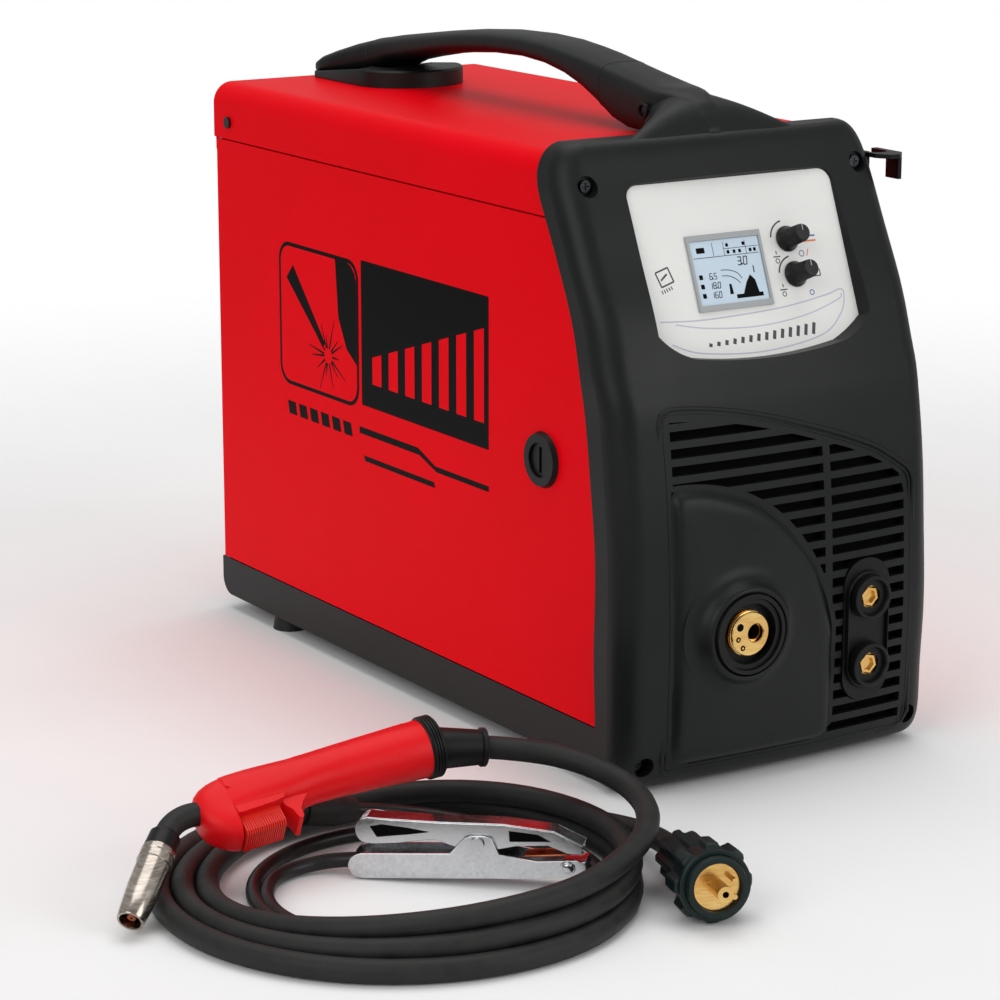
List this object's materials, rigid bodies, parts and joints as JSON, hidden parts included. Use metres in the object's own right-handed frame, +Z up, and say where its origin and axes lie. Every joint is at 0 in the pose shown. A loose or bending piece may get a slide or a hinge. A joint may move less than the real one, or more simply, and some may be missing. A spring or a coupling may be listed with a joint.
{
  "type": "mig welding machine",
  "caption": "Portable inverter wire-feed welder in a red sheet case with a charcoal sloping front, carry handle, side door, torch lead and earth lead.",
  "frame": {"origin": "middle of the machine's outline on the floor plane under its feet, without the loose leads", "axes": "+Z up; the front with the sockets and the control panel faces -Y; +X is to the right of someone facing the front"},
  "size_m": [0.6714, 0.8282, 0.4792],
  "materials": {
    "red_paint": "satin powder coat",
    "charcoal_plastic": "fine textured moulding",
    "black_plastic": "satin moulding",
    "knob_plastic": "satin",
    "panel_film": "satin film",
    "grey_plastic": "satin",
    "screen": "matt display",
    "rubber": "matt",
    "brass": "turned",
    "copper": "plain copper",
    "zinc_steel": "zinc plated",
    "screw_steel": "plated",
    "sheet_steel": "galvanised sheet",
    "aluminium": "plain",
    "circuit_board": "green board",
    "torch_red": "satin moulding",
    "trigger_orange": "satin moulding",
    "nickel": "nickel plated",
    "plug_green": "satin moulding"
  },
  "bodies": {
    "root": {"base_tray": "charcoal_plastic", "rubber_feet": "rubber", "top_cover": "red_paint", "right_side_panel": "red_paint", "rear_panel": "red_paint", "front_bezel": "charcoal_plastic", "front_grille": "charcoal_plastic", "torch_plate": "charcoal_plastic", "euro_collar": "black_plastic", "euro_brass": "brass", "dinse_surround": "black_plastic", "dinse_brass": "brass", "control_panel": "panel_film", "display_frame": "grey_plastic", "lcd_screen": "screen", "control_board": "circuit_board", "case_screws": "screw_steel", "carry_handle": "charcoal_plastic", "torch_hook": "black_plastic", "door_hinges": "sheet_steel", "divider_plate": "sheet_steel", "feeder_plate": "aluminium", "drive_motor": "sheet_steel", "spool_hub": "black_plastic", "power_board": "circuit_board", "heatsinks": "aluminium", "transformer": "copper", "fan_frame": "black_plastic", "gas_valve": "brass", "switch_base": "black_plastic", "mains_gland": "black_plastic", "torch_handle": "torch_red", "torch_neck": "rubber", "gas_nozzle": "nickel", "cable_boot": "rubber", "torch_lead": "rubber", "torch_coil": "rubber", "torch_tail": "rubber", "plug_body": "plug_green", "plug_core": "brass", "clamp_lower": "zinc_steel", "clamp_pin": "zinc_steel", "earth_lead": "rubber", "earth_plug": "rubber"},
    "door": {"side_door": "red_paint", "door_latch_ring": "black_plastic"},
    "latch": {"door_latch_core": "black_plastic"},
    "knob_upper": {"knob_upper": "knob_plastic"},
    "knob_lower": {"knob_lower": "knob_plastic"},
    "drive_roll": {"drive_roll": "zinc_steel"},
    "pressure_arm": {"pressure_arm": "black_plastic"},
    "pressure_roll": {"pressure_roll": "zinc_steel"},
    "tension_knob": {"tension_knob": "knob_plastic"},
    "spool": {"spool_reel": "black_plastic", "wire_winding": "copper"},
    "fan_rotor": {"fan_rotor": "black_plastic"},
    "switch_knob": {"switch_knob": "black_plastic"},
    "trigger": {"torch_trigger": "trigger_orange"},
    "plug_nut": {"plug_nut": "plug_green"},
    "clamp_jaw": {"clamp_upper": "zinc_steel"}
  },
  "joints": [
    {"name": "door_hinge", "type": "hinge", "parent": "root", "child": "door", "pos_m": [-0.1336, 0.283, 0.2], "axis": [0, 0, -1], "range_deg": [0, 105]},
    {"name": "door_latch", "type": "hinge", "parent": "door", "child": "latch", "pos_m": [-0.1366, -0.183, 0.215], "axis": [1, 0, 0], "range_deg": [0, 90]},
    {"name": "voltage_knob", "type": "hinge", "parent": "root", "child": "knob_upper", "pos_m": [0.0284, -0.2318, 0.35801], "axis": [0, -0.9285, 0.3712], "continuous": true},
    {"name": "current_knob", "type": "hinge", "parent": "root", "child": "knob_lower", "pos_m": [0.0294, -0.241, 0.33499], "axis": [0, -0.9285, 0.3712], "continuous": true},
    {"name": "feed_drive", "type": "hinge", "parent": "root", "child": "drive_roll", "pos_m": [-0.0476, -0.13, 0.0944], "axis": [1, 0, 0], "continuous": true},
    {"name": "arm_pivot", "type": "hinge", "parent": "root", "child": "pressure_arm", "pos_m": [-0.0476, -0.176, 0.139], "axis": [1, 0, 0], "range_deg": [0, 60]},
    {"name": "press_spin", "type": "hinge", "parent": "pressure_arm", "child": "pressure_roll", "pos_m": [-0.0476, -0.13, 0.1246], "axis": [1, 0, 0], "continuous": true},
    {"name": "tension_turn", "type": "hinge", "parent": "pressure_arm", "child": "tension_knob", "pos_m": [-0.0476, -0.103, 0.139], "axis": [0, 0, 1], "continuous": true},
    {"name": "spool_turn", "type": "hinge", "parent": "root", "child": "spool", "pos_m": [-0.0696, 0.12, 0.215], "axis": [1, 0, 0], "continuous": true},
    {"name": "fan_turn", "type": "hinge", "parent": "root", "child": "fan_rotor", "pos_m": [0.0524, 0.26, 0.25], "axis": [0, 1, 0], "continuous": true},
    {"name": "mains_switch", "type": "hinge", "parent": "root", "child": "switch_knob", "pos_m": [0.0524, 0.29, 0.13], "axis": [0, 1, 0], "range_deg": [0, 90]},
    {"name": "torch_trigger", "type": "hinge", "parent": "root", "child": "trigger", "pos_m": [-0.42892, -0.29157, 0.0457], "axis": [-0.1335, -0.5465, 0.8268], "range_deg": [0, 7], "stiffness_Nm_per_rad": 0.4},
    {"name": "plug_nut_turn", "type": "hinge", "parent": "root", "child": "plug_nut", "pos_m": [-0.21259, -0.48443, 0.02431], "axis": [-0.3099, -0.9477, 0.0759], "continuous": true},
    {"name": "clamp_open", "type": "hinge", "parent": "root", "child": "clamp_jaw", "pos_m": [-0.29654, -0.35931, 0.02841], "axis": [-0.6839, -0.7295, 0], "range_deg": [0, 12], "stiffness_Nm_per_rad": 1, "springref_deg": -11.46}
  ],
  "couplings": [
    {"joint": "press_spin", "follows": "feed_drive", "ratio": -1.0714}
  ]
}
